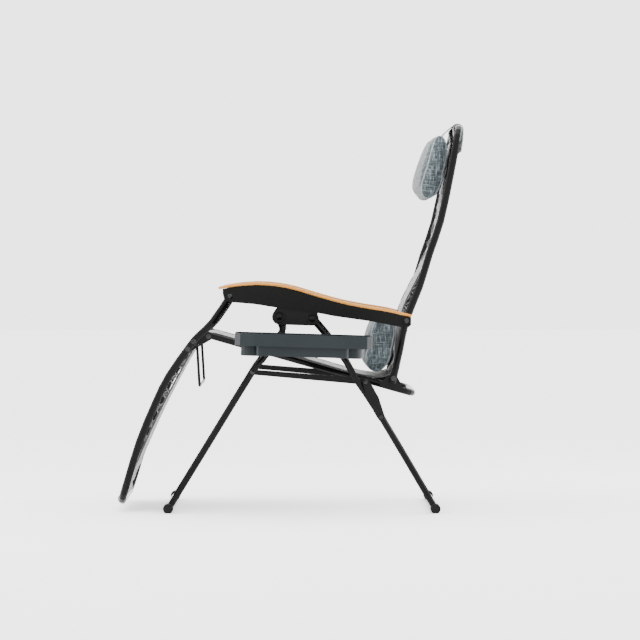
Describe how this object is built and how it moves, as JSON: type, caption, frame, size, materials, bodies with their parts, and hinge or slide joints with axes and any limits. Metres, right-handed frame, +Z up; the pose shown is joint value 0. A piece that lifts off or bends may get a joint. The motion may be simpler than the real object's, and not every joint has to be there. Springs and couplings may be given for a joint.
{
  "type": "zero gravity recliner",
  "caption": "Folding zero gravity recliner: linked back, sling seat and legrest on a crossed tube frame, wooden armrests, pillows and a side tray.",
  "frame": {"origin": "middle of the whole part on the floor", "axes": "+Z up, the sitter faces -X and the left hand with the tray is at -Y"},
  "size_m": [0.988, 0.959, 1.1098],
  "materials": {
    "frame_paint": "gloss",
    "bracket_steel": "satin",
    "bolt_steel": "satin",
    "skirt_plastic": "matte",
    "foot_plastic": "matte",
    "tray_plastic": "satin",
    "arm_wood": "satin varnish",
    "sling_mesh": "woven mesh",
    "pillow_cloth": "woven, quilted"
  },
  "bodies": {
    "base": {"rear_leg_left": "frame_paint", "rear_leg_right": "frame_paint", "rear_foot_left": "foot_plastic", "rear_foot_right": "foot_plastic", "rear_foot_bar": "frame_paint", "hub_left": "bracket_steel", "hub_right": "bracket_steel", "front_leg_left": "frame_paint", "front_leg_right": "frame_paint", "front_foot_left": "foot_plastic", "front_foot_right": "foot_plastic", "front_foot_bar": "frame_paint", "link_bar_left": "frame_paint", "link_bar_right": "frame_paint", "fold_plate_left": "bracket_steel", "fold_plate_right": "bracket_steel"},
    "seat": {"seat_rail_left": "frame_paint", "seat_rail_right": "frame_paint", "hip_bracket_left": "bracket_steel", "hip_bracket_right": "bracket_steel", "seat_cross": "frame_paint", "seat_sling": "sling_mesh", "knee_pin_left": "bolt_steel", "knee_pin_right": "bolt_steel", "hip_pin_left": "bolt_steel", "hip_pin_right": "bolt_steel"},
    "legrest": {"legrest_tube_left": "frame_paint", "legrest_tube_right": "frame_paint", "knee_bracket_left": "bracket_steel", "knee_bracket_right": "bracket_steel", "knee_rivet_1_left": "bolt_steel", "knee_rivet_1_right": "bolt_steel", "knee_rivet_2_left": "bolt_steel", "knee_rivet_2_right": "bolt_steel", "legrest_cross": "frame_paint", "legrest_sling": "sling_mesh"},
    "bail": {"bail": "bracket_steel"},
    "back": {"back_tube_left": "frame_paint", "back_tube_right": "frame_paint", "arm_pin_left": "bolt_steel", "arm_pin_right": "bolt_steel", "back_cross": "frame_paint", "back_sling": "sling_mesh", "lumbar_pillow": "pillow_cloth"},
    "armrests": {"arm_wood_left": "arm_wood", "arm_wood_right": "arm_wood", "arm_channel_left": "skirt_plastic", "arm_channel_right": "skirt_plastic"},
    "headrest": {"head_pillow": "pillow_cloth"},
    "tray": {"tray_deck": "tray_plastic", "tray_bin": "tray_plastic", "cup_well_front": "tray_plastic", "cup_well_rear": "tray_plastic", "tray_clip_front": "tray_plastic", "tray_clip_rear": "tray_plastic"}
  },
  "joints": [
    {"name": "seat_recline", "type": "hinge", "parent": "base", "child": "seat", "pos_m": [0.215, 0.1285, 0.375], "axis": [0, 1, 0], "range_deg": [0, 15.01]},
    {"name": "legrest_recline", "type": "hinge", "parent": "seat", "child": "legrest", "pos_m": [-0.234, 0.1285, 0.503], "axis": [0, 1, 0], "range_deg": [0, 41.01]},
    {"name": "bail_swing", "type": "hinge", "parent": "legrest", "child": "bail", "pos_m": [-0.267, 0.1285, 0.479], "axis": [0, 1, 0], "range_deg": [-56.01, 0]},
    {"name": "back_recline", "type": "hinge", "parent": "seat", "child": "back", "pos_m": [0.295, 0.1285, 0.384], "axis": [0, 1, 0], "range_deg": [0, 24.56]},
    {"name": "armrest_recline", "type": "hinge", "parent": "back", "child": "armrests", "pos_m": [0.331, 0.1285, 0.549], "axis": [0, 1, 0], "range_deg": [-29.14, 0]},
    {"name": "headrest_slide", "type": "slide", "parent": "back", "child": "headrest", "axis": [-0.1805, 0, -0.9836], "range_m": [0, 0.1]},
    {"name": "tray_unclip", "type": "slide", "parent": "base", "child": "tray", "axis": [0, -1, 0], "range_m": [0, 0.12]}
  ],
  "couplings": [
    {"joint": "seat_recline", "follows": "back_recline", "ratio": 0.61075},
    {"joint": "legrest_recline", "follows": "back_recline", "ratio": 1.6694},
    {"joint": "armrest_recline", "follows": "back_recline", "ratio": -1.1861},
    {"joint": "bail_swing", "follows": "back_recline", "ratio": -2.2801}
  ]
}
